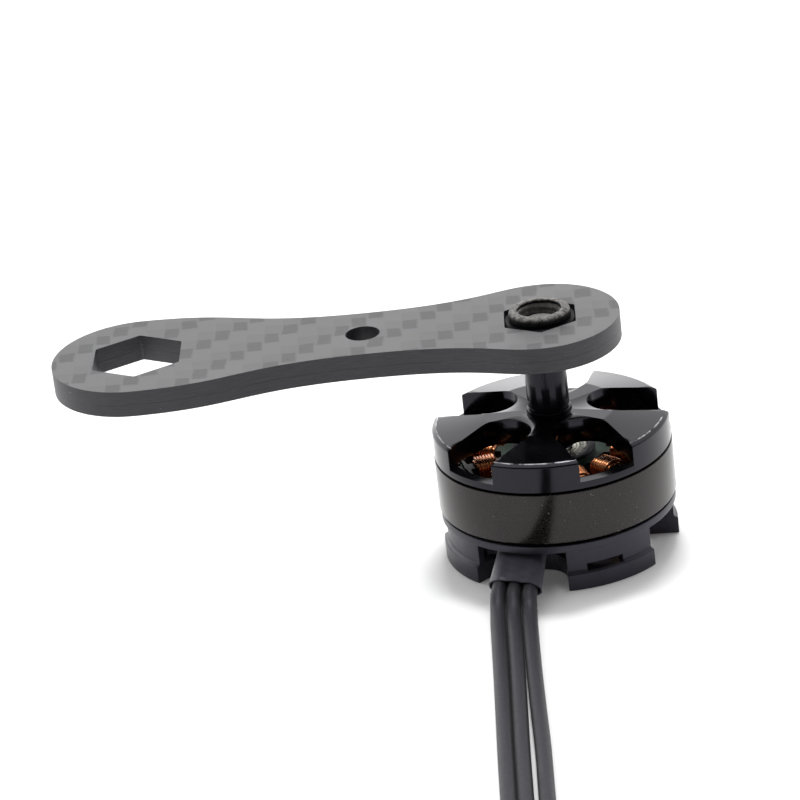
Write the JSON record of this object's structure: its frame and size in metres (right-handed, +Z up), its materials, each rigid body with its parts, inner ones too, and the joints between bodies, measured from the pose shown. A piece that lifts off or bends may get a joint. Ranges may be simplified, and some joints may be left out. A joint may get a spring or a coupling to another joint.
{
  "type": "brushless outrunner motor with prop nut and spanner",
  "caption": "Small brushless outrunner drone motor with a slotted bell, three wires and a lock nut on its prop stud, and a flat two-ended carbon spanner seated on the nut.",
  "frame": {"origin": "on the resting plane, under the centre of the box round the motor and spanner without the wires", "axes": "+X along the spanner from its large end to the motor, -Y towards the wires, +Z up the motor's axis"},
  "size_m": [0.0708, 0.1028, 0.0298],
  "materials": {
    "anodised_black": "glossy black anodised",
    "satin_black": "satin black anodised",
    "ring_black": "fine speckled black coating",
    "bearing_steel": "ground and polished",
    "laminate": "coated steel laminations",
    "slot_insulator": "moulded",
    "enamelled_copper": "enamelled wire, wound",
    "magnet_coating": "dark epoxy coating",
    "black_oxide": "black oxide, worn on its crown",
    "nylon": "moulded",
    "carbon_fibre": "matte woven carbon laminate",
    "silicone_black": "matte silicone",
    "shrink_sleeve": "shrunk tube, slight sheen",
    "tinned_copper": "tinned"
  },
  "bodies": {
    "stator": {"motor_base": "satin_black", "lower_bearing_outer_race": "bearing_steel", "upper_bearing_outer_race": "bearing_steel", "stator_core": "laminate", "stator_insulator_upper": "slot_insulator", "stator_insulator_lower": "slot_insulator", "winding_01": "enamelled_copper", "winding_02": "enamelled_copper", "winding_03": "enamelled_copper", "winding_04": "enamelled_copper", "winding_05": "enamelled_copper", "winding_06": "enamelled_copper", "winding_07": "enamelled_copper", "winding_08": "enamelled_copper", "winding_09": "enamelled_copper", "winding_10": "enamelled_copper", "winding_11": "enamelled_copper", "winding_12": "enamelled_copper", "wire_sleeve": "shrink_sleeve", "phase_wire_left": "silicone_black", "phase_wire_middle": "silicone_black", "phase_wire_right": "silicone_black", "wire_tip_left": "tinned_copper", "wire_tip_middle": "tinned_copper", "wire_tip_right": "tinned_copper"},
    "rotor": {"flux_ring": "ring_black", "bell_cap": "anodised_black", "motor_shaft": "bearing_steel", "prop_stud": "anodised_black", "shaft_shim": "bearing_steel", "shaft_circlip": "bearing_steel", "lower_bearing_inner_race": "bearing_steel", "upper_bearing_inner_race": "bearing_steel", "magnet_01": "magnet_coating", "magnet_02": "magnet_coating", "magnet_03": "magnet_coating", "magnet_04": "magnet_coating", "magnet_05": "magnet_coating", "magnet_06": "magnet_coating", "magnet_07": "magnet_coating", "magnet_08": "magnet_coating", "magnet_09": "magnet_coating", "magnet_10": "magnet_coating", "magnet_11": "magnet_coating", "magnet_12": "magnet_coating", "magnet_13": "magnet_coating", "magnet_14": "magnet_coating"},
    "lower_cage": {"lower_bearing_balls": "bearing_steel"},
    "upper_cage": {"upper_bearing_balls": "bearing_steel"},
    "insert": {"nut_insert": "nylon"},
    "nut": {"lock_nut": "black_oxide"},
    "wrench": {"spanner": "carbon_fibre"}
  },
  "joints": [
    {"name": "rotor_spin", "type": "hinge", "parent": "stator", "child": "rotor", "pos_m": [0.02145, 0, 0.01], "axis": [0, 0, 1], "continuous": true},
    {"name": "lower_cage_spin", "type": "hinge", "parent": "stator", "child": "lower_cage", "pos_m": [0.02145, 0, 0.0028], "axis": [0, 0, 1], "continuous": true},
    {"name": "upper_cage_spin", "type": "hinge", "parent": "stator", "child": "upper_cage", "pos_m": [0.02145, 0, 0.0102], "axis": [0, 0, 1], "continuous": true},
    {"name": "nut_rise", "type": "slide", "parent": "rotor", "child": "insert", "axis": [0, 0, 1], "range_m": [-0.00161, 0.00321]},
    {"name": "nut_turn", "type": "hinge", "parent": "insert", "child": "nut", "pos_m": [0.02145, 0, 0.027], "axis": [0, 0, 1], "range_deg": [-720, 1440]},
    {"name": "spanner_lift", "type": "slide", "parent": "nut", "child": "wrench", "axis": [0, 0, 1], "range_m": [0, 0.012]}
  ],
  "couplings": [
    {"joint": "lower_cage_spin", "follows": "rotor_spin", "ratio": 0.3873},
    {"joint": "upper_cage_spin", "follows": "rotor_spin", "ratio": 0.3873},
    {"joint": "nut_rise", "follows": "nut_turn", "m_per_rad": 0.00012732}
  ]
}
